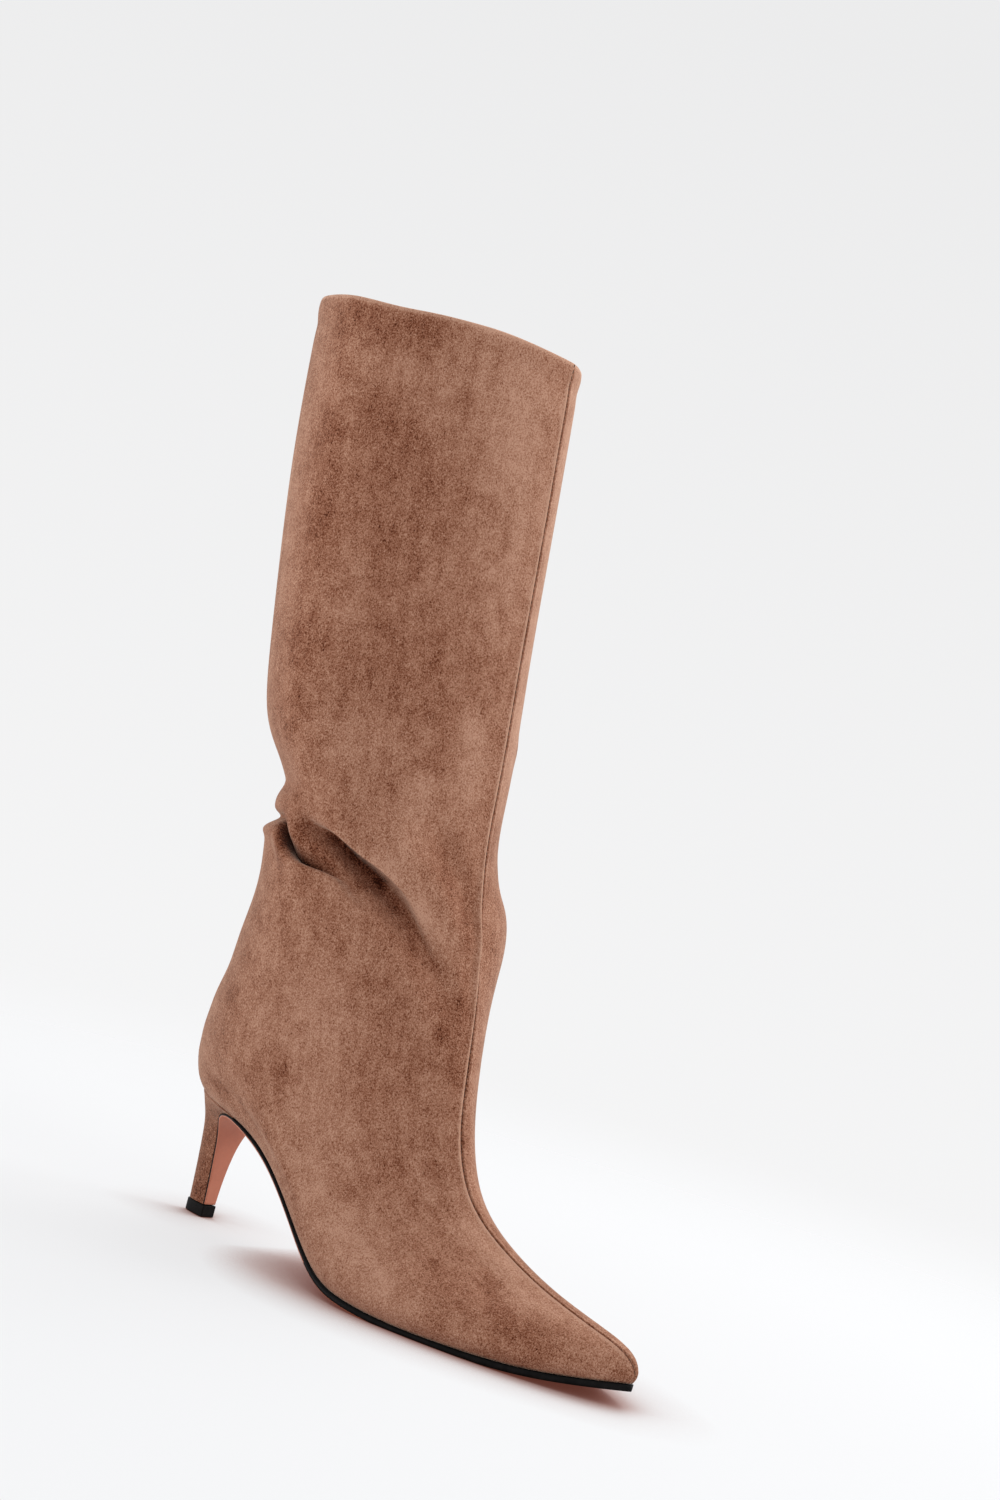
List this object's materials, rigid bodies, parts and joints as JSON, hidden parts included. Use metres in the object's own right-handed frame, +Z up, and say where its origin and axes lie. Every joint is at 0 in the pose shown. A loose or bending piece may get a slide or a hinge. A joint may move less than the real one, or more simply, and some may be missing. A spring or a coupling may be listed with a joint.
{
  "type": "knee-high boot",
  "caption": "Knee-high pull-on boot in soft suede with a pointed toe and a slim heel, its slack shaft sunk into folds at the ankle.",
  "frame": {"origin": "on the floor under the middle of the heel's top piece", "axes": "+X forward to the toe, +Y to the wearer's left (the medial side of this right boot), +Z up"},
  "size_m": [0.2835, 0.1056, 0.3819],
  "materials": {
    "suede": "napped faux suede, matte, with shaded streaks",
    "sole": "satin tan underside",
    "black_trim": "satin black",
    "lining": "brushed cloth"
  },
  "bodies": {
    "root": {"upper": "suede", "heel": "suede", "outsole": "sole", "top_piece": "black_trim", "insole": "lining"}
  },
  "joints": []
}
